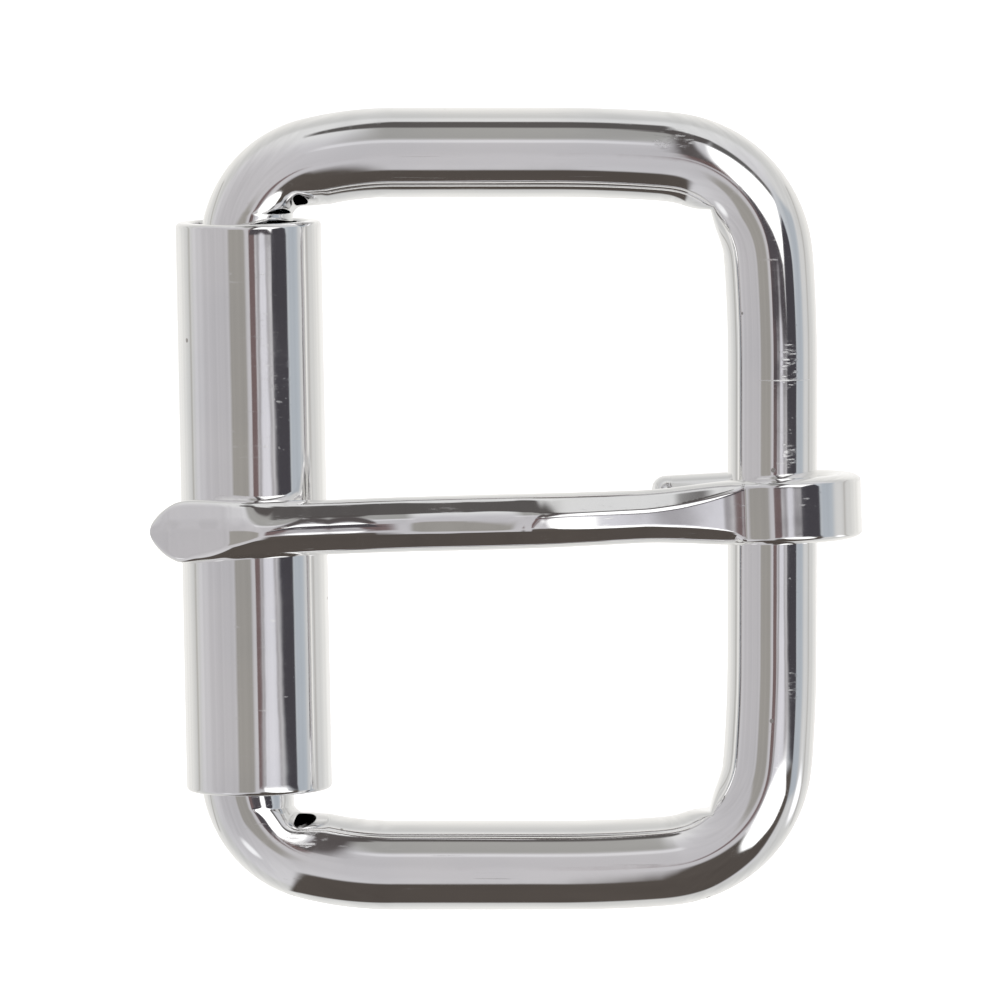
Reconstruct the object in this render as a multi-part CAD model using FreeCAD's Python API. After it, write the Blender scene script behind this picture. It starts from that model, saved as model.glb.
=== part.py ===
import FreeCAD, Part
import math
import os

# Roller buckle for a 40 mm strap: a closed frame bent from heavy round wire, a loose
# roller on one upright of the frame and a tongue whose loop is curled round the other.
#
# The origin is on the axis of the heel bar (the upright that carries the tongue) at mid
# length. The tongue lies along -X, +Y runs along the heel bar and +Z is the face of the
# buckle on which the tongue rests on the roller. All lengths are in millimetres.

# ---- frame ----
strap_window = 40.0         # clear height between the two side bars
wire_dia = 5.75
roller_bar_x = -33.75       # axis of the upright inside the roller
heel_bend = ((95.0, 4.0), (14.0, 4.0), (6.9, 74.0), (14.0, 4.0), (95.0, 4.0))
roller_bend = ((22.0, 14.0), (5.6, 76.0))
shoulder_y = 19.45          # end stop of the roller, measured at mid thickness
shoulder_end_x = -28.4      # window side limit of the stop's cut
shoulder_draft = 0.58       # rise of the stop face per mm away from mid thickness
neck_radius = 3.1           # round neck left between the stop and the roller
neck_flare = 0.5            # growth of the neck radius per mm beyond the flare start
neck_flare_y = 19.0
former_corner_x = -4.0      # crease that the square former leaves inside the heel bends
former_corner_y = 19.25
former_flank = 0.24         # lean of the crease flank along the heel bar

# ---- roller ----
roller_dia = 9.35
roller_bore = 7.6
roller_length = 36.5
roller_axis_x = -33.2       # the loose roller hangs a little off the axis of its bar
roller_lean = 1.05          # and a little askew: its +Y end leans towards -X
roller_rise = 0.85          # and is raised towards +Z (both in degrees)
roller_shift_y = 0.25       # its place in the end play
roller_edge = 0.3
roller_bore_edge = 0.15

# ---- tongue ----
strip_width = 4.2
strip_thick = 2.5
loop_outer = 5.73
loop_end_angle = 110.0      # how far past the heel bar's far side the curl is closed
tail_reach = 7.4            # the tail ends this far from the heel bar's axis
tail_dome = 0.9             # length of the rounded end of the tail
tongue_skew = 1.8           # the loose tongue lies a little across the window
tongue_shift_y = 0.15
rest_gap = 0.08             # tongue to roller at rest
shank_width = 3.55
tongue_reach = 39.88        # hinge axis to the end of the tip
beak_width = 4.1
crest_top = 8.0             # top of the arch near the middle of the shank, above mid thickness
strip_power = 5.0           # squareness of the strip section (2 is an ellipse)

BIG = 30.0


def turtle(start, heading, moves):
    """Tangent lines and left-hand arcs; returns the edges, the end point and heading."""
    edges = []
    x, y = start
    angle = math.radians(heading)
    for radius, amount in moves:
        if radius == 0:
            nx = x + amount * math.cos(angle)
            ny = y + amount * math.sin(angle)
            edges.append(("line", (x, y), (nx, ny), None, 0.0))
        else:
            cx = x - radius * math.sin(angle)
            cy = y + radius * math.cos(angle)
            turned = angle + math.radians(amount)
            nx = cx + radius * math.sin(turned)
            ny = cy - radius * math.cos(turned)
            edges.append(("arc", (x, y), (nx, ny), (cx, cy), amount))
            angle = turned
        x, y = nx, ny
    return edges, (x, y), math.degrees(angle)


def wire_segment(edge):
    """One straight or toroidal length of the frame's wire."""
    kind, (ax, ay), (bx, by), centre, degrees = edge
    if kind == "line":
        along = FreeCAD.Vector(bx - ax, by - ay, 0)
        return Part.makeCylinder(
            wire_dia / 2, along.Length, FreeCAD.Vector(ax, ay, 0), along
        )
    cx, cy = centre
    tangent = FreeCAD.Vector(-(ay - cy), ax - cx, 0)
    ring = Part.Circle(FreeCAD.Vector(ax, ay, 0), tangent, wire_dia / 2)
    face = Part.Face(Part.Wire(ring.toShape()))
    return face.revolve(FreeCAD.Vector(cx, cy, 0), FreeCAD.Vector(0, 0, 1), degrees)


def frame_half():
    """The wire above the X axis, from the heel bar's middle to the roller bar's."""
    bar_y = (strap_window + wire_dia) / 2
    _, heel_end, heading = turtle((0, 0), 90, heel_bend)
    _, roller_end, _ = turtle((0, 0), heading, roller_bend)
    heel_straight = bar_y - heel_end[1]
    side_straight = heel_end[0] + roller_end[0] - roller_bar_x
    roller_straight = bar_y + roller_end[1]
    moves = [(0, heel_straight)]
    moves += list(heel_bend)
    moves += [(0, side_straight)]
    moves += list(roller_bend)
    moves += [(0, roller_straight)]
    edges, _, _ = turtle((0, 0), 90, moves)
    pieces = [wire_segment(edge) for edge in edges]
    half = pieces[0].multiFuse(pieces[1:])
    return half.removeSplitter()


def neck_core():
    """Material kept at the roller bar: a round neck that flares into the bend."""
    axis = FreeCAD.Vector(0, 1, 0)
    base = FreeCAD.Vector(roller_bar_x, -1.0, 0)
    round_neck = Part.makeCylinder(neck_radius, neck_flare_y + 1.0, base, axis)
    flare_length = 6.0
    flare = Part.makeCone(
        neck_radius,
        neck_radius + neck_flare * flare_length,
        flare_length,
        FreeCAD.Vector(roller_bar_x, neck_flare_y, 0),
        axis,
    )
    return round_neck.fuse(flare)


def shoulder_cutter():
    """Drafted slab that leaves the roller's end stop, less the neck."""
    reach = 4.0
    low = -1.0
    x0 = roller_bar_x - 5.0
    outline = [
        (low, -reach),
        (shoulder_y + shoulder_draft * reach, -reach),
        (shoulder_y, 0.0),
        (shoulder_y + shoulder_draft * reach, reach),
        (low, reach),
    ]
    points = [FreeCAD.Vector(x0, y, z) for y, z in outline]
    face = Part.Face(Part.makePolygon(points + [points[0]]))
    slab = face.extrude(FreeCAD.Vector(shoulder_end_x - x0, 0, 0))
    return slab.cut(neck_core())


def former_crease():
    """Corner of the square former, pressed into the inside of the heel bend."""
    drop = 2.05
    points = [
        FreeCAD.Vector(former_corner_x, former_corner_y, -BIG),
        FreeCAD.Vector(former_corner_x - 6.0, former_corner_y, -BIG),
        FreeCAD.Vector(former_corner_x - 6.0, former_corner_y - drop, -BIG),
        FreeCAD.Vector(
            former_corner_x + former_flank * drop, former_corner_y - drop, -BIG
        ),
    ]
    face = Part.Face(Part.makePolygon(points + [points[0]]))
    return face.extrude(FreeCAD.Vector(0, 0, 2 * BIG))


def frame():
    """Closed frame: two mirror halves with necks, end stops and inner creases."""
    half = frame_half().cut(shoulder_cutter())
    half = half.cut(former_crease())
    mirrored = half.mirror(FreeCAD.Vector(0, 0, 0), FreeCAD.Vector(0, 1, 0))
    return half.fuse(mirrored).removeSplitter()


def rims(shape, radius):
    """The circular edges of one radius."""
    circles = [edge for edge in shape.Edges if isinstance(edge.Curve, Part.Circle)]
    return [edge for edge in circles if abs(edge.Curve.Radius - radius) < 1e-6]


def roller():
    """Open tube with rounded ends, loose on the roller bar."""
    axis = FreeCAD.Vector(0, 1, 0)
    low = roller_shift_y - roller_length / 2
    base = FreeCAD.Vector(roller_axis_x, low, 0)
    tube = Part.makeCylinder(roller_dia / 2, roller_length, base, axis)
    bore_base = FreeCAD.Vector(roller_axis_x, low - 1.0, 0)
    tube = tube.cut(Part.makeCylinder(roller_bore / 2, roller_length + 2, bore_base, axis))
    tube = tube.makeFillet(roller_edge, rims(tube, roller_dia / 2))
    tube = tube.makeChamfer(roller_bore_edge, rims(tube, roller_bore / 2))
    middle = FreeCAD.Vector(roller_axis_x, 0, 0)
    tube.rotate(middle, FreeCAD.Vector(1, 0, 0), roller_rise)
    tube.rotate(middle, FreeCAD.Vector(0, 0, 1), roller_lean)
    return tube


def section(x, z, lean, width, thick, power):
    """Closed superellipse across the tongue; lean is the slope of its path in degrees."""
    count = 48
    ux = -math.sin(math.radians(lean))
    uz = math.cos(math.radians(lean))
    points = []
    for i in range(count):
        t = 2 * math.pi * i / count
        c = math.cos(t)
        s = math.sin(t)
        size = (abs(c) ** power + abs(s) ** power) ** (-1 / power)
        across = width / 2 * c * size
        up = thick / 2 * s * size
        points.append(FreeCAD.Vector(x + up * ux, across, z + up * uz))
    curve = Part.BSplineCurve()
    curve.interpolate(Points=points, PeriodicFlag=True)
    return Part.Wire(curve.toShape())


def loop():
    """The strip curled round the heel bar, from its top over the far side."""
    middle = loop_outer - strip_thick / 2
    start = section(0, middle, 0, strip_width, strip_thick, strip_power)
    turn = 90 + loop_end_angle
    return Part.Face(start).revolve(
        FreeCAD.Vector(0, 0, 0), FreeCAD.Vector(0, 1, 0), turn
    )


def tail():
    """Straight end of the strip, tucked up under the shank, with a rounded end."""
    middle = loop_outer - strip_thick / 2
    turn = math.radians(loop_end_angle)
    x0 = middle * math.cos(turn)
    z0 = -middle * math.sin(turn)
    slope = loop_end_angle - 90
    dx = -math.cos(math.radians(slope))
    dz = math.sin(math.radians(slope))
    straight = (tail_reach + x0) / -dx - tail_dome
    root = section(x0, z0, -slope, strip_width, strip_thick, strip_power)
    body = Part.Face(root).extrude(FreeCAD.Vector(straight * dx, 0, straight * dz))
    wires = []
    steps = 6
    for i in range(steps + 1):
        u = i / steps
        along = straight + u * tail_dome
        wires.append(
            section(
                x0 + along * dx,
                z0 + along * dz,
                -slope,
                strip_width * (1 - 0.24 * u ** 3),
                strip_thick * (1 - 0.34 * u ** 3),
                strip_power - 1.5 * u,
            )
        )
    return body.fuse(Part.makeLoft(wires, True, False))


def eased(stations, at):
    """Value between two neighbouring stations, with the slope smooth at each one."""
    count = len(stations)
    k = 0
    while k < count - 2 and at > stations[k + 1][0]:
        k += 1
    x0, y0 = stations[k]
    x1, y1 = stations[k + 1]
    span = x1 - x0
    slopes = []
    for j in (k, k + 1):
        if j == 0 or j == count - 1:
            slopes.append((y1 - y0) / span if j else 0.0)
            continue
        before = (stations[j][1] - stations[j - 1][1]) / (stations[j][0] - stations[j - 1][0])
        after = (stations[j + 1][1] - stations[j][1]) / (stations[j + 1][0] - stations[j][0])
        slopes.append(0.0 if before * after <= 0 else 2 * before * after / (before + after))
    u = (at - x0) / span
    return (
        y0 * (1 + 2 * u) * (1 - u) ** 2
        + y1 * u * u * (3 - 2 * u)
        + span * slopes[0] * u * (1 - u) ** 2
        - span * slopes[1] * u * u * (1 - u)
    )


def shank():
    """Arched shank: strip at the loop, round in the middle, beak at the tip."""
    seat = roller_dia / 2 + rest_gap
    # each pair: distance from the hinge, value there
    tops = (
        (0.0, loop_outer),
        (1.8, loop_outer - 0.2),
        (8.2, loop_outer + 0.92),
        (13.6, crest_top - 0.22),
        (15.9, crest_top),
        (23.5, crest_top - 0.65),
        (28.3, crest_top - 0.4),
        (32.6, crest_top - 0.05),
        (34.4, crest_top - 0.3),
        (36.65, crest_top - 1.17),
        (38.4, crest_top - 1.87),
        (tongue_reach, crest_top - 2.6),
    )
    undersides = (
        (0.0, loop_outer - strip_thick),
        (3.2, 2.9),
        (8.2, 3.9),
        (13.6, 4.5),
        (19.5, 4.2),
        (24.0, 4.1),
        (28.0, 4.6),
        (31.0, seat),
        (34.8, seat),
        (37.2, 4.35),
        (tongue_reach, 4.5),
    )
    widths = (
        (0.0, strip_width),
        (2.0, strip_width),
        (8.5, 3.46),
        (20.0, shank_width),
        (28.0, shank_width),
        (33.2, 3.72),
        (37.0, beak_width),
        (37.8, beak_width - 0.02),
        (38.32, 3.78),
        (38.8, 3.1),
        (39.2, 2.28),
        (39.58, 1.3),
        (tongue_reach, 0.4),
    )
    powers = (
        (0.0, strip_power),
        (2.0, strip_power),
        (13.0, 2.6),
        (30.0, 2.4),
        (37.0, 2.6),
        (tongue_reach, 2.2),
    )
    stations = [0.75 * i for i in range(50)]
    stations += [37.2, 37.8, 38.3, 38.7, 39.05, 39.35, 39.6, 39.78, tongue_reach]
    wires = []
    for reach in stations:
        top = eased(tops, reach)
        thick = top - eased(undersides, reach)
        wires.append(
            section(
                -reach,
                top - thick / 2,
                0,
                eased(widths, reach),
                thick,
                eased(powers, reach),
            )
        )
    return Part.makeLoft(wires, True, False)


def tongue():
    """Loop, tail and shank in one, laid at its small skew across the window."""
    body = loop().multiFuse([tail(), shank()]).removeSplitter()
    body.rotate(FreeCAD.Vector(0, 0, 0), FreeCAD.Vector(0, 0, 1), tongue_skew)
    body.translate(FreeCAD.Vector(0, tongue_shift_y, 0))
    return body


def main():
    os.makedirs("parts", exist_ok=True)
    for name, make in (("frame", frame), ("roller", roller), ("tongue", tongue)):
        shape = make()
        if shape.ShapeType != "Solid":
            shape = shape.Solids[0] if len(shape.Solids) == 1 else shape
        print(name, shape.ShapeType, len(shape.Solids), shape.isValid(), shape.Volume)
        shape.exportStep("parts/" + name + ".step")


main()
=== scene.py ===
import math

import bmesh
import bpy
import numpy as np
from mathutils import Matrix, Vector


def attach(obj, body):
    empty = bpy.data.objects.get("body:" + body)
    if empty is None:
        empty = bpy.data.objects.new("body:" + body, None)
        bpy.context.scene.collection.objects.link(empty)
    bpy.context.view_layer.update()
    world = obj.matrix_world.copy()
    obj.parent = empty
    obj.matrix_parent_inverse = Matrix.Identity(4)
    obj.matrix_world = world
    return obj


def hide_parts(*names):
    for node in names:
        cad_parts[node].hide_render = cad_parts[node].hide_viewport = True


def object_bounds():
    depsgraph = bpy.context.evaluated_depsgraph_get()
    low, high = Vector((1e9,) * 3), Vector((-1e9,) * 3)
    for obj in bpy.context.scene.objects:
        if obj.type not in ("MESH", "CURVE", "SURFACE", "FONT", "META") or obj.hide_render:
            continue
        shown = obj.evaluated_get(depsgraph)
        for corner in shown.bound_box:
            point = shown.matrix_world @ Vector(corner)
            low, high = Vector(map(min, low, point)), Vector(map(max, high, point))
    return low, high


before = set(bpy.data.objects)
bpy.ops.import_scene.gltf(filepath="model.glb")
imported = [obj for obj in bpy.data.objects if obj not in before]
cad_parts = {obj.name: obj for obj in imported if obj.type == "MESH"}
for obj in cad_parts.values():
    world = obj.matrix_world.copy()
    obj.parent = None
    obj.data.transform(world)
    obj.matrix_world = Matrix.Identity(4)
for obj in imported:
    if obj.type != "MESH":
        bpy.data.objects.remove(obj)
cad_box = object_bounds()

MM = 0.001

# ------------------------------------------------------------------ frame sizes (mm, degrees)
WINDOW = 40.0                                 # between the side bars, the strap's width
WIRE = 5.75
ROLLER_BAR_X = -33.75
HEEL_BEND = ((95.0, 4.0), (14.0, 4.0), (6.9, 74.0), (14.0, 4.0), (95.0, 4.0))   # radius, turn
ROLLER_BEND = ((22.0, 14.0), (5.6, 76.0))
# the bend beside the roller is cut back to a neck that ends in a shoulder
SHOULDER_Y = 19.45
SHOULDER_DRAFT = 0.58
SHOULDER_END_X = -28.4
SHOULDER_ROUND = 1.6
NOTCH_SOFT = 0.5
NOTCH_END_SOFT = 0.6
NECK_R = 3.1
NECK_FLARE = 0.5
NECK_FLARE_Y = 19.0
# the inside of the bend at the heel is pressed to a crease
CREASE = (-4.0, 19.25)
CREASE_FLANK = 0.24
CREASE_LOW = 16.5
CREASE_SOFT = 0.05
CREASE_SIDE_X = -14.0
CUT_EDGE_SOFT = 0.3
FRAME_AROUND = 144                            # points round the wire
FRAME_HALVINGS = 30
# only sections out here can meet a cut
CUTS_FROM_Y = 13.0
ROLLER_SIDE_X = -22.0
ROLLER_END_X = -30.0

# ------------------------------------------------------------------ roller sizes
ROLLER_DIA = 9.35
ROLLER_BORE = 7.6
ROLLER_LEN = 36.5
ROLLER_AXIS_X = -33.2
ROLLER_LEAN = 1.05                            # about Z
ROLLER_RISE = 0.85                            # about X
ROLLER_SHIFT = 0.25
ROLLER_EDGE = 0.3
ROLLER_LIP = 0.16
ROLLER_AROUND = 256

# ------------------------------------------------------------------ tongue sizes
LOOP_OUTER = 5.73
STRIP_W = 4.2
STRIP_T = 2.5
LOOP_END = 110.0                              # where the curl ends, degrees from +X
TAIL_REACH = 7.4
TAIL_DOME = 0.9                               # length of the tail's rounded end
TAIL_SHRINK = 0.62
TONGUE_REACH = 39.72
SKEW = 1.8
SHIFT_Y = 0.15
SHANK = 3.55
NOSE_AT = 37.5                                # where the rounded outline of the tip begins
# points round the section, and sections in each stretch
TONGUE_AROUND = 192
TONGUE_HALVINGS = 26
DOME_RINGS = 18
TAIL_RINGS = 40
LOOP_RINGS = 240
KINK_RINGS = 36
SHANK_RINGS = 480
NOSE_RINGS = 70


# ------------------------------------------------------------------ mesh helpers
def grid_mesh(name, points, close_u=True, close_v=True, caps=()):
    """points[u][v] -> quads; caps closes an open u end with a fan."""
    nu, nv = points.shape[:2]
    verts = points.reshape(-1, 3)
    u = np.arange(nu if close_u else nu - 1)
    v = np.arange(nv if close_v else nv - 1)
    uu, vv = np.meshgrid(u, v, indexing="ij")
    a = uu * nv + vv
    b = ((uu + 1) % nu) * nv + vv
    c = ((uu + 1) % nu) * nv + (vv + 1) % nv
    d = uu * nv + (vv + 1) % nv
    faces = np.stack([a, b, c, d], -1).reshape(-1, 4).tolist()
    extra = []
    for end in caps:
        ring = points[end]
        extra.append(ring.mean(0))
        hub = len(verts) + len(extra) - 1
        base = (nu - 1 if end == -1 else 0) * nv
        for i in range(nv):
            j = (i + 1) % nv
            tri = [base + i, base + j, hub]
            faces.append(tri if end == -1 else tri[::-1])
    if extra:
        verts = np.vstack([verts, np.array(extra)])
    mesh = bpy.data.meshes.new(name)
    mesh.from_pydata((verts * MM).tolist(), [], faces)
    mesh.validate()
    mesh.polygons.foreach_set("use_smooth", [True] * len(mesh.polygons))
    mesh.update()
    return mesh


def fix_normals(mesh):
    """Turns every face outwards."""
    bm = bmesh.new()
    bm.from_mesh(mesh)
    bmesh.ops.recalc_face_normals(bm, faces=bm.faces)
    bm.to_mesh(mesh)
    bm.free()
    mesh.update()


def add_piece(name, mesh, body, node, material):
    obj = bpy.data.objects.new(name, mesh)
    bpy.context.scene.collection.objects.link(obj)
    obj.data.materials.append(material)
    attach(obj, body)
    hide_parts(node)
    return obj


def eased(stations, at):
    """Smooth curve through the stations that doesn't overshoot them."""
    xs = np.array([s[0] for s in stations], float)
    ys = np.array([s[1] for s in stations], float)
    d = np.diff(ys) / np.diff(xs)
    m = np.zeros(len(xs))
    for j in range(1, len(xs) - 1):
        p = d[j - 1] * d[j]
        m[j] = 0.0 if p <= 0 else 2 * p / (d[j - 1] + d[j])
    m[-1] = d[-1]
    k = np.clip(np.searchsorted(xs, at) - 1, 0, len(xs) - 2)
    h = xs[k + 1] - xs[k]
    u = (at - xs[k]) / h
    return (
        ys[k] * (1 + 2 * u) * (1 - u) ** 2
        + ys[k + 1] * u * u * (3 - 2 * u)
        + h * m[k] * u * (1 - u) ** 2
        - h * m[k + 1] * u * u * (1 - u)
    )


# ------------------------------------------------------------------ frame
def mesh_step(p):
    """Distance between sections: short in the bends, shortest beside the roller."""
    if p[0] < -20:
        return 0.06
    return 0.08 if p[1] > 10 else 0.2


def run(p, h, moves):
    """Goes from p with heading h along straights (0, length) and left turns (radius, degrees)."""
    pts = []
    for radius, amount in moves:
        if radius == 0:
            n = max(2, int(abs(amount) / mesh_step(p)))
            for t in np.linspace(0, amount, n, endpoint=False):
                pts.append((p[0] + t * math.cos(h), p[1] + t * math.sin(h), h))
            p = (p[0] + amount * math.cos(h), p[1] + amount * math.sin(h))
        else:
            c = (p[0] - radius * math.sin(h), p[1] + radius * math.cos(h))
            sweep = math.radians(amount)
            n = max(3, int(radius * sweep / mesh_step(p)))
            for t in np.linspace(0, sweep, n, endpoint=False):
                a = h + t
                pts.append((c[0] + radius * math.sin(a), c[1] - radius * math.cos(a), a))
            h += sweep
            p = (c[0] + radius * math.sin(h), c[1] - radius * math.cos(h))
    return pts, p, h


def centreline():
    """Closed centreline as x, y and heading, from mid heel bar by the north side and back."""
    start, up = (0, 0), math.pi / 2
    bar_y = (WINDOW + WIRE) / 2
    _, heel, h = run(start, up, HEEL_BEND)
    _, left, _ = run(start, h, ROLLER_BEND)
    moves = [(0, bar_y - heel[1])]
    moves += HEEL_BEND
    moves += [(0, heel[0] + left[0] - ROLLER_BAR_X)]
    moves += ROLLER_BEND
    pts, p, h = run(start, up, moves)
    roller_bar_steps = 60
    for t in np.linspace(0, p[1], roller_bar_steps, endpoint=False):
        pts.append((p[0], p[1] - t, h))
    pts = np.array(pts)
    # the south half mirrors the north half
    low = pts[1:][::-1].copy()
    low[:, 1] *= -1
    low[:, 2] = math.pi - low[:, 2]
    low[:, 2] = np.where(low[:, 2] < 0, low[:, 2] + 2 * math.pi, low[:, 2])
    mid = np.array([[ROLLER_BAR_X, 0.0, 1.5 * math.pi]])
    return np.vstack([pts, mid, low])


def smooth_max(a, b, k):
    """The larger of a and b, blended where they differ by less than k."""
    h = np.clip(0.5 + 0.5 * (a - b) / k, 0, 1)
    return b + (a - b) * h + k * h * (1 - h)


def removed(x, y, z):
    """Negative where the bend was cut or pressed away, roughly a distance in mm."""
    ay = np.abs(y)
    dish = np.sqrt(z * z + SHOULDER_ROUND) - math.sqrt(SHOULDER_ROUND)
    slab = (ay - SHOULDER_Y - SHOULDER_DRAFT * dish) / math.hypot(1, SHOULDER_DRAFT)
    grow = NECK_FLARE * np.clip(ay - NECK_FLARE_Y, 0, None)
    core = NECK_R + grow - np.hypot(x - ROLLER_BAR_X, z)
    side = x - SHOULDER_END_X
    notch = smooth_max(smooth_max(slab, core, NOTCH_SOFT), side, NOTCH_END_SOFT)
    ledge = ay - CREASE[1]
    flank = (x - (CREASE[0] + (CREASE[1] - ay) * CREASE_FLANK)) / math.hypot(1, CREASE_FLANK)
    crease = smooth_max(ledge, flank, CREASE_SOFT)
    far_off = 9.0
    crease = np.where(x > CREASE_SIDE_X, np.maximum(crease, CREASE_LOW - ay), far_off)
    return np.minimum(notch, crease)


def frame_mesh():
    """Round wire along the centreline; near the cuts each radius is found by halving."""
    line = centreline()
    angle = np.arange(FRAME_AROUND) * 2 * math.pi / FRAME_AROUND
    cx, cy, h = line[:, 0, None], line[:, 1, None], line[:, 2, None]
    # outward (right-hand) side of a left-turning path
    ox, oy = np.sin(h), -np.cos(h)
    ca, sa = np.cos(angle)[None, :], np.sin(angle)[None, :]
    full = np.full((len(line), FRAME_AROUND), WIRE / 2)
    near_cut = (np.abs(cy) > CUTS_FROM_Y) & ((cx < ROLLER_SIDE_X) | (cx > CREASE_SIDE_X))
    near_cut = np.broadcast_to(near_cut | (cx < ROLLER_END_X), full.shape)

    def at(r):
        return cx + r * ca * ox, cy + r * ca * oy, r * sa + 0 * cx

    lo = np.zeros_like(full)
    hi = full.copy()
    for _ in range(FRAME_HALVINGS):
        mid = 0.5 * (lo + hi)
        inside = smooth_max(mid - WIRE / 2, -removed(*at(mid)), CUT_EDGE_SOFT) < 0
        lo = np.where(inside, mid, lo)
        hi = np.where(inside, hi, mid)
    r = np.where(near_cut, 0.5 * (lo + hi), full)
    return grid_mesh("frame_wire", np.stack(at(r), -1))


# ------------------------------------------------------------------ roller
def roller_mesh():
    """Lathed tube about its own axis, which rises and leans a little."""
    outer, bore = ROLLER_DIA / 2, ROLLER_BORE / 2
    y0 = ROLLER_SHIFT - ROLLER_LEN / 2
    y1 = ROLLER_SHIFT + ROLLER_LEN / 2
    quarter = np.linspace(0, math.pi / 2, 12)

    def rim(y, inward):
        """Rounded end at y as (radius, y), from the bore out."""
        lip, edge = ROLLER_LIP, ROLLER_EDGE
        inner = [(bore + lip * (1 - math.cos(a)), y + inward * lip * (1 - math.sin(a)))
                 for a in quarter]
        outside = [(outer - edge * (1 - math.sin(a)), y + inward * edge * (1 - math.cos(a)))
                   for a in quarter]
        return inner + outside

    ys = np.linspace(y0 + ROLLER_EDGE, y1 - ROLLER_EDGE, 90)[1:-1]
    ring = rim(y0, 1) + [(outer, y) for y in ys]
    ring += rim(y1, -1)[::-1] + [(bore, y) for y in ys[::-1]]
    a = np.arange(ROLLER_AROUND) * 2 * math.pi / ROLLER_AROUND
    radius = np.array([p[0] for p in ring])[:, None]
    x = radius * np.cos(a)
    y = np.array([p[1] for p in ring])[:, None] + 0 * a
    z = radius * np.sin(a)
    t = math.radians(ROLLER_RISE)
    y, z = y * math.cos(t) - z * math.sin(t), y * math.sin(t) + z * math.cos(t)
    t = math.radians(ROLLER_LEAN)
    x, y = x * math.cos(t) - y * math.sin(t), x * math.sin(t) + y * math.cos(t)
    return grid_mesh("roller_tube", np.stack([ROLLER_AXIS_X + x, y, z], -1))


# ------------------------------------------------------------------ tongue
# Each pair of these tables: distance from the hinge's axis, value there (mm or degrees).
KINK = 1.81                                   # where the flat strip leaves the round loop
CREST = 7.95                                  # ridge just behind the tip
CREST_AT = 32.6
ARCH_AT = 16.0                                # highest place of the arch
TOPS = ((KINK, 5.44), (2.07, 5.457), (2.58, 5.495), (2.83, 5.52), (3.35, 5.593), (8.2, 6.65),
        (13.6, 7.8), (14.6, 7.905), (15.4, 7.95), (15.9, 7.95), (19.5, 7.64), (23.5, 7.23),
        (25.2, 7.26), (28.3, 7.55), (CREST_AT, CREST), (34.4, 7.7), (36.65, 6.83), (38.4, 6.13),
        (TONGUE_REACH, 5.4))
BOTTOMS = ((KINK, 2.68), (3.2, 2.9), (8.2, 3.9), (13.6, 4.5), (19.5, 4.2), (24.0, 4.2),
           (28.0, 4.6), (31.0, 4.755), (34.8, 4.755), (37.2, 4.35), (TONGUE_REACH, 4.5))
WIDTHS = ((0.0, STRIP_W), (2.0, STRIP_W), (8.5, 3.46), (20.0, SHANK), (28.0, 3.55), (33.2, 3.72),
          (36.0, 4.04), (37.1, 4.1), (37.94, 3.95), (38.35, 3.6), (38.75, 3.1), (39.1, 2.5),
          (39.35, 1.95), (39.56, 1.25), (39.67, 0.75), (TONGUE_REACH, 0.35))
# half widths of the flat top on either side of the middle, and the bevels' slopes
FLAT_NORTH = ((0.0, 1.8), (KINK, 1.72), (2.6, 1.46), (4.6, 0.95), (6.5, 0.64), (8.5, 0.5),
              (30.0, 0.5), (CREST_AT, 0.3), (34.0, 0.42), (38.5, 0.42), (TONGUE_REACH, 0.1))
FLAT_SOUTH = ((0.0, 1.8), (KINK, 1.72), (2.6, 1.3), (4.6, 0.92), (6.5, 0.72), (8.5, 0.6),
              (30.0, 0.55), (CREST_AT, 0.62), (34.0, 0.92), (36.65, 1.55), (37.7, 1.8),
              (38.5, 1.7), (TONGUE_REACH, 0.6))
BEVEL_NORTH = ((0.0, 45.0), (13.6, 44.0), (16.5, 39.5), (22.5, 39.0), (31.0, 39.0),
               (34.0, 27.0), (TONGUE_REACH, 27.0))
BEVEL_SOUTH = ((0.0, 45.0), (TONGUE_REACH, 45.0))
ROUNDING = ((0.0, 0.1), (KINK, 0.1), (4.0, 0.14), (12.0, 0.14), (16.0, 0.16), (30.0, 0.2),
            (34.0, 0.25), (TONGUE_REACH, 0.2))
CROWNS = ((0.0, 0.0), (11.0, 0.0), (16.0, 0.06), (25.0, 0.1), (30.0, 0.1), (34.0, 0.02),
          (TONGUE_REACH, 0.02))
SIDE_ROUNDING = 0.45
TOP_ROUNDING = 0.05
UNDERSIDE_ROUNDING = 0.3
UNDERSIDE_FLAT = 0.55                         # share of the half width
CREST_SLANT = 0.8
SLANT_LENGTH = 4.0


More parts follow.
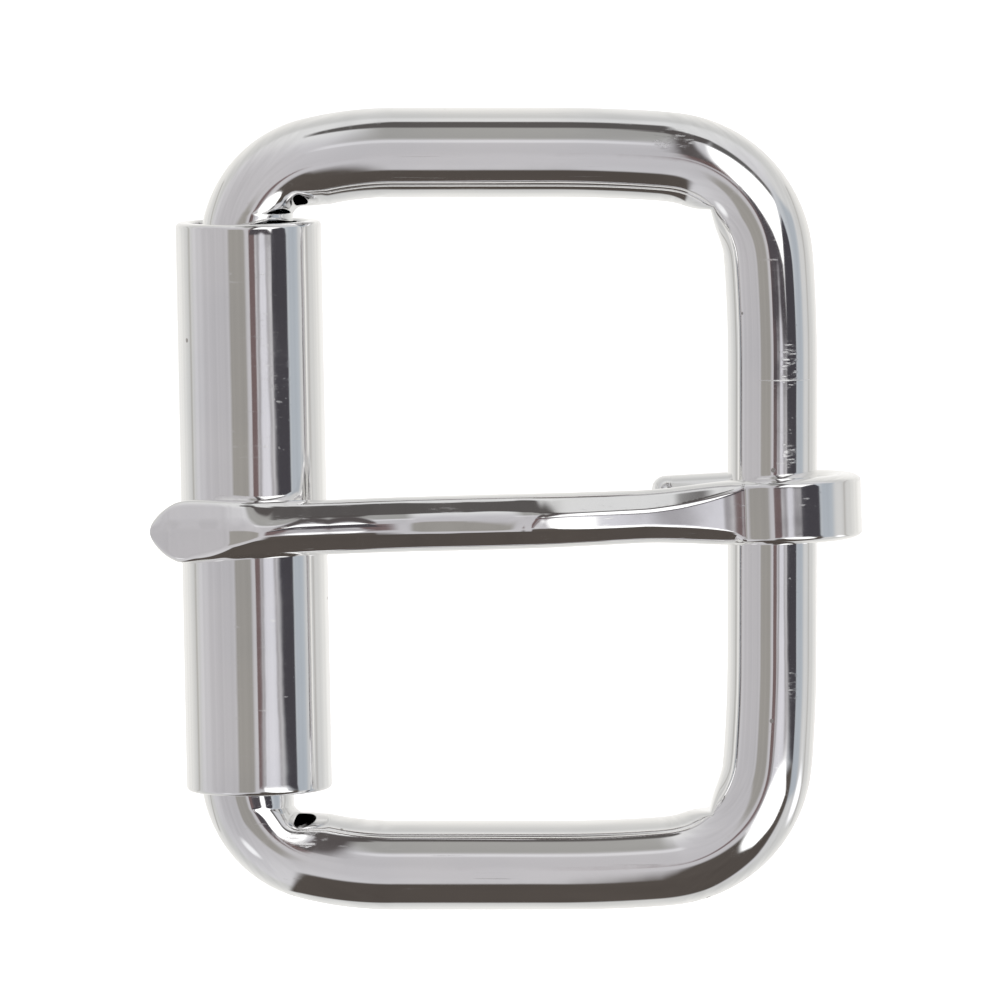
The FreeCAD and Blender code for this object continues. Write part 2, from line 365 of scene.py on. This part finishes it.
def tongue_rings():
    """Path of the section's middle: x, z, lean (deg), half width, half height, distance along."""
    middle = LOOP_OUTER - STRIP_T / 2
    rings = []
    slope = LOOP_END - 90
    turn = math.radians(LOOP_END)
    x0, z0 = middle * math.cos(turn), -middle * math.sin(turn)
    dx, dz = -math.cos(math.radians(slope)), math.sin(math.radians(slope))
    length = (TAIL_REACH + x0) / -dx
    half_w, half_t = STRIP_W / 2, STRIP_T / 2
    for u in np.sin(np.linspace(math.pi / 2, 0, DOME_RINGS)):
        s = length - TAIL_DOME + u * TAIL_DOME
        k = TAIL_SHRINK * (1 - math.sqrt(max(1 - u * u, 0.02)))
        rings.append((x0 + s * dx, z0 + s * dz, 180 - slope, half_w - k, half_t - k, 0.0))
    for s in np.linspace(length - TAIL_DOME, 0, TAIL_RINGS)[1:]:
        rings.append((x0 + s * dx, z0 + s * dz, 180 - slope, half_w, half_t, 0.0))
    for a in np.linspace(LOOP_END, -90, LOOP_RINGS)[1:-1]:
        t = math.radians(a)
        rings.append((middle * math.cos(t), -middle * math.sin(t), -90 - a, half_w, half_t, 0.0))
    nose = np.sin(np.linspace(0, math.pi / 2, NOSE_RINGS)[1:])
    reach = np.concatenate([np.linspace(0, KINK, KINK_RINGS),
                            np.linspace(KINK, NOSE_AT, SHANK_RINGS)[1:],
                            NOSE_AT + (TONGUE_REACH - NOSE_AT) * nose])
    round_top = np.sqrt(np.clip(LOOP_OUTER ** 2 - reach ** 2, 0, None))
    round_low = np.sqrt(np.clip((LOOP_OUTER - STRIP_T) ** 2 - reach ** 2, 0, None))
    top = np.where(reach <= KINK, round_top, eased(TOPS, reach))
    low = np.where(reach <= KINK, round_low, eased(BOTTOMS, reach))
    width = eased(WIDTHS, reach)
    for i, r in enumerate(reach):
        rings.append((-r, (top[i] + low[i]) / 2, 0.0, width[i] / 2, (top[i] - low[i]) / 2, r))
    return np.array(rings)


def tongue_mesh():
    """Skin of the tongue: each ring's radii are found by halving on the section's outline."""
    rings = tongue_rings()
    half_w, half_t, along = (rings[:, k, None] for k in (3, 4, 5))
    curl = np.clip(half_w / (STRIP_W / 2), 0, 1)
    share = np.where(along > 0, 1.0, curl)
    north, south = (eased(t, along) * share for t in (FLAT_NORTH, FLAT_SOUTH))
    bevel_n, bevel_s = (np.radians(eased(t, along)) for t in (BEVEL_NORTH, BEVEL_SOUTH))
    soft = eased(ROUNDING, along)
    crown = eased(CROWNS, along)
    # the arch's crest runs slantwise across the flat
    reach = np.clip(along, KINK, TONGUE_REACH)
    slope = (eased(TOPS, reach + 0.01) - eased(TOPS, reach - 0.01)) / 0.02
    slant = CREST_SLANT * slope * np.exp(-((along - ARCH_AT) / SLANT_LENGTH) ** 2)
    t = (np.arange(TONGUE_AROUND) + 0.5) * 2 * math.pi / TONGUE_AROUND
    c, s = np.cos(t)[None, :], np.sin(t)[None, :]

    def outside(r):
        """Positive outside the section at distance r from its middle."""
        y, u = r * c, r * s
        n = (y - north) * np.sin(bevel_n) + (u - half_t) * np.cos(bevel_n)
        m = (-y - south) * np.sin(bevel_s) + (u - half_t) * np.cos(bevel_s)
        under = ((np.abs(y) - UNDERSIDE_FLAT * half_w) - u - half_t) * math.sqrt(0.5)
        f = smooth_max(u - half_t + crown * y * y - slant * y, -u - half_t, TOP_ROUNDING)
        f = smooth_max(f, n, soft)
        f = smooth_max(f, m, soft)
        f = smooth_max(f, under, UNDERSIDE_ROUNDING)
        return smooth_max(f, np.abs(y) - half_w, np.minimum(SIDE_ROUNDING, half_w * 0.5))

    lo = np.zeros((len(rings), TONGUE_AROUND))
    beyond = 4.0
    hi = lo + beyond
    for _ in range(TONGUE_HALVINGS):
        mid = 0.5 * (lo + hi)
        out = outside(mid) > 0
        lo = np.where(out, lo, mid)
        hi = np.where(out, mid, hi)
    across, up = hi * c, hi * s
    lean = np.radians(rings[:, 2, None])
    x = rings[:, 0, None] - up * np.sin(lean)
    z = rings[:, 1, None] + up * np.cos(lean)
    k = math.radians(SKEW)
    xr = x * math.cos(k) - across * math.sin(k)
    yr = x * math.sin(k) + across * math.cos(k) + SHIFT_Y
    return grid_mesh("tongue_prong", np.stack([xr, yr, z], -1), close_u=False, caps=(0, -1))


# ------------------------------------------------------------------ materials
WARM_NICKEL = (0.952, 0.946, 0.938, 1)
COOL_NICKEL = (0.898, 0.899, 0.903, 1)
PIT_DIRT = (0.36, 0.34, 0.32, 1)
CLEAREST = 0.035                              # roughness of the clearest and haziest plate
HAZIEST = 0.075
WAVINESS = 0.02                               # mm
# centre x, y, half sizes (mm) and strength
FRAME_SCUFFS = ((1.0, 9.3, 0.6, 1.6, 0.9), (1.05, 3.6, 0.45, 0.75, 0.7),
                (-6.4, 23.8, 1.4, 0.7, 0.9), (-29.8, -20.9, 1.4, 0.7, 0.8),
                (1.4, -11.0, 0.5, 1.2, 0.4))
FRAME_CUTS = ((0.65, 8.42, 1.9, 0.045, 0.75),)
ROLLER_SCUFFS = ((-31.5, 9.0, 1.3, 1.8, 0.16), (-34.5, -11.0, 1.4, 3.0, 0.2))
TONGUE_SCUFFS = ((-30.5, -0.3, 1.8, 0.5, 0.5), (-21.0, 0.2, 1.6, 0.4, 0.3))


class Graph:
    """Short ways to add nodes to one tree."""

    def __init__(self, tree):
        self.tree = tree

    def node(self, kind, **kw):
        n = self.tree.nodes.new(kind)
        for k, v in kw.items():
            setattr(n, k, v)
        return n

    def put(self, socket, value):
        if hasattr(value, "is_linked"):
            self.tree.links.new(value, socket)
        else:
            socket.default_value = value

    def math(self, op, *values):
        n = self.node("ShaderNodeMath", operation=op)
        for i, v in enumerate(values):
            self.put(n.inputs[i], v)
        return n.outputs[0]

    def ramp(self, value, low, high, to_low=0.0, to_high=1.0):
        """Smooth step from to_low at low to to_high at high; low may be above high."""
        n = self.node("ShaderNodeMapRange", interpolation_type="SMOOTHSTEP")
        for i, v in enumerate((value, low, high, to_low, to_high)):
            self.put(n.inputs[i], v)
        return n.outputs[0]


def placed(g, scale, turn, offset):
    """Object coordinates, stretched, turned about Z and shifted."""
    m = g.node("ShaderNodeMapping")
    g.put(m.inputs["Vector"], g.node("ShaderNodeTexCoord").outputs["Object"])
    m.inputs["Location"].default_value = offset
    m.inputs["Rotation"].default_value = (0, 0, math.radians(turn))
    m.inputs["Scale"].default_value = scale
    return m.outputs[0]


def noise(g, scale, detail, offset, turn=0.0):
    """Noise with a wavelength of 1/scale metres; scale is one number or three."""
    if isinstance(scale, (int, float)):
        scale = (scale, scale, scale)
    n = g.node("ShaderNodeTexNoise")
    g.put(n.inputs["Vector"], placed(g, scale, turn, offset))
    n.inputs["Scale"].default_value = 1.0
    n.inputs["Detail"].default_value = detail
    return n.outputs[0]


def hairlines(g, turn, offset, seldom):
    """Thin straight scratches along one direction, broken up so that few are left."""
    lines = noise(g, (90.0, 5200.0, 5200.0), 1.0, offset, turn)
    where = noise(g, 260.0, 1.0, (offset[1], offset[0], 3.0))
    return g.math("MULTIPLY", g.ramp(lines, 0.69, 0.76), g.ramp(where, seldom, seldom + 0.12))


def pits(g, offset):
    """Sparse small round pits in the plate."""
    v = g.node("ShaderNodeTexVoronoi")
    g.put(v.inputs["Vector"], placed(g, (420.0, 420.0, 420.0), 0.0, offset))
    v.inputs["Scale"].default_value = 1.0
    size = noise(g, 300.0, 0.0, offset)
    radius = g.ramp(size, 0.56, 0.72, 0.0, 0.075)
    return g.ramp(g.math("SUBTRACT", v.outputs["Distance"], radius), 0.0, -0.02)


def patch(g, cx, cy, rx, ry):
    """1 in an upright ellipse on the upper face, centre and half sizes in mm."""
    sep = g.node("ShaderNodeSeparateXYZ")
    g.put(sep.inputs[0], g.node("ShaderNodeTexCoord").outputs["Object"])
    dx = g.math("DIVIDE", g.math("SUBTRACT", sep.outputs[0], cx * MM), rx * MM)
    dy = g.math("DIVIDE", g.math("SUBTRACT", sep.outputs[1], cy * MM), ry * MM)
    d = g.math("SQRT", g.math("ADD", g.math("MULTIPLY", dx, dx), g.math("MULTIPLY", dy, dy)))
    face = g.ramp(sep.outputs[2], 0.0, 0.5 * MM)
    return g.math("MULTIPLY", g.ramp(d, 1.15, 0.75), face)


def rubbed_places(g, at, scuffs, cuts):
    """Scuffs are clouds of fine crossed scratches; cuts are single lines across the part."""
    cloud = g.ramp(noise(g, (900.0, 6000.0, 2000.0), 3.0, at, 35.0), 0.5, 0.72)
    cross = g.ramp(noise(g, (900.0, 6000.0, 2000.0), 3.0, at, -50.0), 0.52, 0.72)
    rubbed = 0.0
    for cx, cy, rx, ry, much in scuffs:
        rubbed = g.math("MAXIMUM", g.math("MULTIPLY", patch(g, cx, cy, rx, ry), much), rubbed)
    rubbed = g.math("MULTIPLY", rubbed, g.math("MAXIMUM", cloud, cross))
    for cx, cy, rx, ry, much in cuts:
        rubbed = g.math("MAXIMUM", g.math("MULTIPLY", patch(g, cx, cy, rx, ry), much), rubbed)
    return rubbed


def plated(name, seed, scuffs=(), cuts=()):
    """Bright nickel plate over a polished, slightly wavy surface with light wear."""
    mat = bpy.data.materials.new(name)
    mat.use_nodes = True
    bsdf = mat.node_tree.nodes["Principled BSDF"]
    bsdf.inputs["Metallic"].default_value = 1.0
    g = Graph(mat.node_tree)
    at = (seed * 7.3, seed * 3.1, seed * 5.7)

    haze = noise(g, 150.0, 3.0, at)
    grain = noise(g, 2600.0, 2.0, at)
    marks = hairlines(g, 8.0, at, 0.52)
    for turn, more in ((97.0, 11.0), (52.0, 23.0), (-31.0, 37.0)):
        other = hairlines(g, turn, (at[0] + more, at[1] + more, at[2]), 0.56)
        marks = g.math("MAXIMUM", marks, other)
    dents = pits(g, at)
    worn = g.ramp(g.node("ShaderNodeNewGeometry").outputs["Pointiness"], 0.53, 0.6)
    rubbed = rubbed_places(g, at, scuffs, cuts)

    rough = g.ramp(haze, 0.35, 0.7, CLEAREST, HAZIEST)
    rough = g.math("ADD", rough, g.ramp(grain, 0.3, 0.7, 0.0, 0.012))
    for wear, adds in ((marks, 0.16), (worn, 0.05), (dents, 0.2), (rubbed, 0.42)):
        rough = g.math("ADD", rough, g.math("MULTIPLY", wear, adds))
    g.put(bsdf.inputs["Roughness"], rough)

    tint = g.node("ShaderNodeMix", data_type="RGBA")
    g.put(tint.inputs[0], g.ramp(noise(g, 75.0, 4.0, (at[2], at[0], at[1])), 0.36, 0.64))
    tint.inputs[6].default_value = WARM_NICKEL
    tint.inputs[7].default_value = COOL_NICKEL
    stain = g.node("ShaderNodeMix", data_type="RGBA")
    g.put(stain.inputs[0], g.math("MULTIPLY", dents, 0.8))
    g.put(stain.inputs[6], tint.outputs[2])
    stain.inputs[7].default_value = PIT_DIRT
    g.put(bsdf.inputs["Base Color"], stain.outputs[2])

    height = noise(g, 170.0, 1.0, (at[1], at[2], at[0]))
    height = g.math("ADD", height, g.math("MULTIPLY", noise(g, 620.0, 1.0, at), 0.09))
    height = g.math("ADD", height, g.math("MULTIPLY", grain, 0.006))
    bump = g.node("ShaderNodeBump")
    bump.inputs["Strength"].default_value = 1.0
    bump.inputs["Distance"].default_value = WAVINESS * MM
    g.put(bump.inputs["Height"], height)
    g.put(bsdf.inputs["Normal"], bump.outputs[0])
    return mat


# ------------------------------------------------------------------ build
frame_obj = add_piece("frame_wire", frame_mesh(), "frame", "frame",
                      plated("frame_nickel", 1, FRAME_SCUFFS, FRAME_CUTS))
roller_obj = add_piece("roller_tube", roller_mesh(), "roller", "roller",
                       plated("roller_nickel", 2, ROLLER_SCUFFS))
tongue_obj = add_piece("tongue_prong", tongue_mesh(), "tongue", "tongue",
                       plated("tongue_nickel", 3, TONGUE_SCUFFS))
for piece in (frame_obj, roller_obj, tongue_obj):
    fix_normals(piece.data)

# ------------------------------------------------------------------ camera
TILT = math.radians(3.7)                      # from straight above, towards +Y
DISTANCE = 0.7
VIEW_WIDTH = 0.06405                          # how much the camera sees at the buckle
SENSOR = 36.0
scene = bpy.context.scene
target = np.array([-17.44, 0.61, 0.0]) * MM
cam_data = bpy.data.cameras.new("camera")
cam_data.lens = SENSOR * DISTANCE / VIEW_WIDTH
cam_data.sensor_width = SENSOR
cam_data.clip_start = 0.01
cam_data.clip_end = 20.0
cam = bpy.data.objects.new("camera", cam_data)
scene.collection.objects.link(cam)
cam.location = (target[0], target[1] + DISTANCE * math.sin(TILT),
                target[2] + DISTANCE * math.cos(TILT))
cam.rotation_euler = (-TILT, 0.0, 0.0)
scene.camera = cam


# ------------------------------------------------------------------ floor
def paper():
    """White paper, bright enough to lose all but a trace of the contact shadow."""
    mat = bpy.data.materials.new("floor_paper")
    mat.use_nodes = True
    shader = mat.node_tree.nodes["Principled BSDF"]
    shader.inputs["Base Color"].default_value = (0.9, 0.9, 0.9, 1)
    shader.inputs["Roughness"].default_value = 0.9
    shader.inputs["Specular IOR Level"].default_value = 0.0
    shader.inputs["Emission Color"].default_value = (1, 1, 1, 1)
    shader.inputs["Emission Strength"].default_value = 0.72
    return mat


FLOOR_HALF = 1.6
FLOOR_GAP = 0.0001
floor_z = float(cad_box[0][2]) - FLOOR_GAP
corners = [(-FLOOR_HALF, -FLOOR_HALF), (FLOOR_HALF, -FLOOR_HALF), (FLOOR_HALF, FLOOR_HALF),
           (-FLOOR_HALF, FLOOR_HALF)]
floor_mesh = bpy.data.meshes.new("floor")
floor_mesh.from_pydata([(x, y, floor_z) for x, y in corners], [], [(0, 1, 2, 3)])
floor = bpy.data.objects.new("floor", floor_mesh)
scene.collection.objects.link(floor)
floor.data.materials.append(paper())
floor.visible_glossy = False

# ------------------------------------------------------------------ studio world
world = bpy.data.worlds.new("studio")
scene.world = world
world.use_nodes = True
world.node_tree.nodes.clear()
sky = Graph(world.node_tree)

# degrees from the zenith, split into east (+X) and north (+Y)
toward = sky.node("ShaderNodeSeparateXYZ")
sky.put(toward.inputs[0], sky.node("ShaderNodeTexCoord").outputs["Generated"])
sx, sy, sz = toward.outputs
theta = sky.math("MULTIPLY", sky.math("ARCCOSINE", sz), 180 / math.pi)
aside = sky.math("ADD", sky.math("MULTIPLY", sx, sx), sky.math("MULTIPLY", sy, sy))
aside = sky.math("MAXIMUM", sky.math("SQRT", aside), 1e-5)
east = sky.math("MULTIPLY", theta, sky.math("DIVIDE", sx, aside))
north = sky.math("MULTIPLY", theta, sky.math("DIVIDE", sy, aside))


def half_plane(a, b, soft):
    """1 left of the line from a to b, fading over soft degrees."""
    ex, ey = b[0] - a[0], b[1] - a[1]
    length = math.hypot(ex, ey)
    nx, ny = -ey / length, ex / length
    off = -(nx * a[0] + ny * a[1])
    d = sky.math("MULTIPLY_ADD", east, nx, sky.math("MULTIPLY_ADD", north, ny, off))
    return sky.ramp(d, -soft, soft)


def poly(points, soft):
    """Soft mask of a convex polygon given counter-clockwise."""
    mask = 1.0
    for i, a in enumerate(points):
        mask = sky.math("MULTIPLY", mask, half_plane(a, points[(i + 1) % len(points)], soft))
    return mask


def blob(cx, cy, rx, ry, soft):
    """Soft mask of an upright ellipse."""
    dx = sky.math("DIVIDE", sky.math("SUBTRACT", east, cx), rx)
    dy = sky.math("DIVIDE", sky.math("SUBTRACT", north, cy), ry)
    square = sky.math("ADD", sky.math("MULTIPLY", dx, dx), sky.math("MULTIPLY", dy, dy))
    return sky.ramp(sky.math("SQRT", square), 1 + soft, 1 - soft)


def below(start, end):
    """Mask that grows from start to end degrees from the zenith."""
    return sky.ramp(theta, start, end)


def light(rgb):
    """Linear brightness that the plate mirrors as this colour (0 to 255)."""
    gain = SHEEN * (WINDOW_GAIN if rgb[0] > 250 else 1.0)
    out = [c / 255 for c in rgb]
    out = [c / 12.92 if c <= 0.04045 else ((c + 0.055) / 1.055) ** 2.4 for c in out]
    return tuple(c * gain for c in out) + (1,)


SHEEN = 1.0 / 0.9                             # the plate mirrors nine tenths
WINDOW_GAIN = 1.25                            # windows are brighter than white
STREAK_EAST = 0.14                            # streaks per degree
STREAK_NORTH = 0.025
STREAK_DEPTH = 0.3
PLAIN_SKY = (203, 202, 205)
# mask, its numbers in degrees, colour; later ones lie over earlier ones
SHAPES = (
    (blob, (0, 95, 70, 40, 0.5), (214, 214, 214)),
    (blob, (0, 0, 40, 40, 0.6), (186, 184, 187)),
    (blob, (80, 5, 30, 40, 0.4), (176, 182, 188)),
    (poly, (((60, -150), (150, -150), (150, 120), (66, 60)), 8), (200, 200, 200)),
    (poly, (((64, -30), (84, -30), (86, 30), (64, 35)), 5), (168, 174, 181)),
    # white table below the horizon, paler towards the nadir
    (below, (94, 106), (196, 196, 195)),
    (below, (104, 150), (228, 227, 224)),
    (below, (140, 178), (243, 242, 240)),
    (poly, (((-110, -70), (-106, -70), (-106, 60), (-110, 60)), 2), (172, 170, 166)),
    (poly, (((104, -70), (108, -70), (108, 60), (104, 60)), 2), (176, 174, 172)),
    (blob, (94, -38, 8, 18, 0.5), (252, 252, 255)),
    (blob, (-54, 0, 34, 60, 0.6), (180, 178, 181)),
    (poly, (((-31, -22), (-12, -24), (-5, -14), (-5, 0), (-14, 6), (-31, 4)), 2.4),
     (149, 146, 142)),
    (blob, (-48, -49, 8, 6, 0.5), (240, 240, 242)),
    # pale pane, bright line and dark bar straight to the north
    (poly, (((-6, 36), (4, 36), (14, 72), (-6, 78)), 4), (156, 155, 153)),
    (poly, (((-8, 27), (3, 27), (4, 33), (-8, 34)), 2), (210, 209, 212)),
    (poly, (((-19, 69), (11, 68), (9, 86), (-1, 88), (-19, 77)), 2.5), (86, 83, 82)),
    # dark mass to the south
    (poly, (((4, -14), (1.5, -46), (30, -60), (60, -60), (67, -30), (64, -8), (40, -12)), 3),
     (82, 76, 72)),
    (poly, (((-14, -46), (-31, -89), (-40, -118), (-8, -112), (35, -96), (60, -66), (60, -43),
             (2, -43)), 3.5), (80, 74, 70)),
    # windows to the east
    (poly, (((9, -8), (18, -24), (28, -38), (40, -44), (52, -37), (57, -22), (46, -9),
             (28, -7.2)), 1.6), (255, 255, 255)),
    (poly, (((7, 4), (36.5, -1.2), (39.2, 0), (44.5, 10), (54, 23), (52, 29), (20.4, 49.4)), 1.2),
     (255, 255, 255)),
    # frame lines of the upper window
    (poly, (((2.5, 3.5), (7.2, 4.4), (9.5, 14), (4, 14)), 1.0), (98, 80, 79)),
    (poly, (((3, 12), (9, 12), (17, 66), (9, 70)), 1.5), (84, 79, 79)),
    (poly, (((14, 52), (22, 52), (28, 64), (8, 75), (4, 66)), 1.5), (84, 80, 79)),
    (poly, (((22, 50), (52, 29), (56, 33), (27, 64)), 2.5), (92, 91, 90)),
    # arm between the windows, with a wedge of light under it
    (poly, (((1.4, -9), (8, -9), (11, -2.8), (6, 1), (1.4, 1)), 1.0), (110, 94, 94)),
    (poly, (((1.8, -3.1), (40, -3.1), (36.5, -0.9), (20, 4.4), (8, 4.6)), 0.7), (74, 70, 74)),
    (poly, (((36, -4.4), (56, -10.5), (66, -12), (54.5, 20), (43, 9), (38.5, 1)), 1.5),
     (66, 64, 69)),
    (poly, (((4, -8), (44, -8), (23, -1.6), (19, -1.6)), 0.9), (154, 151, 154)),
    (poly, (((11, -8), (38, -8), (22.5, -1.8), (20.5, -1.8)), 0.8), (206, 205, 211)),
)
color = light(PLAIN_SKY)
for mask, numbers, rgb in SHAPES:
    over = sky.node("ShaderNodeMix", data_type="RGBA")
    sky.put(over.inputs[0], mask(*numbers))
    sky.put(over.inputs[6], color)
    over.inputs[7].default_value = light(rgb)
    color = over.outputs[2]

# faint upright streaks over everything, as in a furnished room
streak_at = sky.node("ShaderNodeCombineXYZ")
sky.put(streak_at.inputs[0], sky.math("MULTIPLY", east, STREAK_EAST))
sky.put(streak_at.inputs[1], sky.math("MULTIPLY", north, STREAK_NORTH))
streaks = sky.node("ShaderNodeTexNoise")
streaks.inputs["Scale"].default_value = 1.0
streaks.inputs["Detail"].default_value = 3.0
sky.put(streaks.inputs["Vector"], streak_at.outputs[0])
room = sky.node("ShaderNodeBackground")
sky.put(room.inputs[0], color)
sky.put(room.inputs[1], sky.math("MULTIPLY_ADD", streaks.outputs[0], STREAK_DEPTH,
                                 1.0 - STREAK_DEPTH / 2))

# the camera itself sees plain white past the floor
white = sky.node("ShaderNodeBackground")
white.inputs[0].default_value = (1, 1, 1, 1)
seen = sky.node("ShaderNodeMixShader")
sky.put(seen.inputs[0], sky.node("ShaderNodeLightPath").outputs["Is Camera Ray"])
sky.put(seen.inputs[1], room.outputs[0])
sky.put(seen.inputs[2], white.outputs[0])
sky.put(sky.node("ShaderNodeOutputWorld").inputs[0], seen.outputs[0])

# overhead softbox for the floor, not seen in the plating
SOFTBOX_SIZE = 1.2
SOFTBOX_HEIGHT = 1.1
SOFTBOX_WATTS = 12.0
area = bpy.data.lights.new("softbox", "AREA")
area.shape = "DISK"
area.size = SOFTBOX_SIZE
area.energy = SOFTBOX_WATTS
softbox = bpy.data.objects.new("softbox", area)
softbox.location = (0, 0, SOFTBOX_HEIGHT)
softbox.visible_glossy = False
softbox.visible_camera = False
scene.collection.objects.link(softbox)

scene.view_settings.view_transform = "Standard"
scene.view_settings.look = "None"
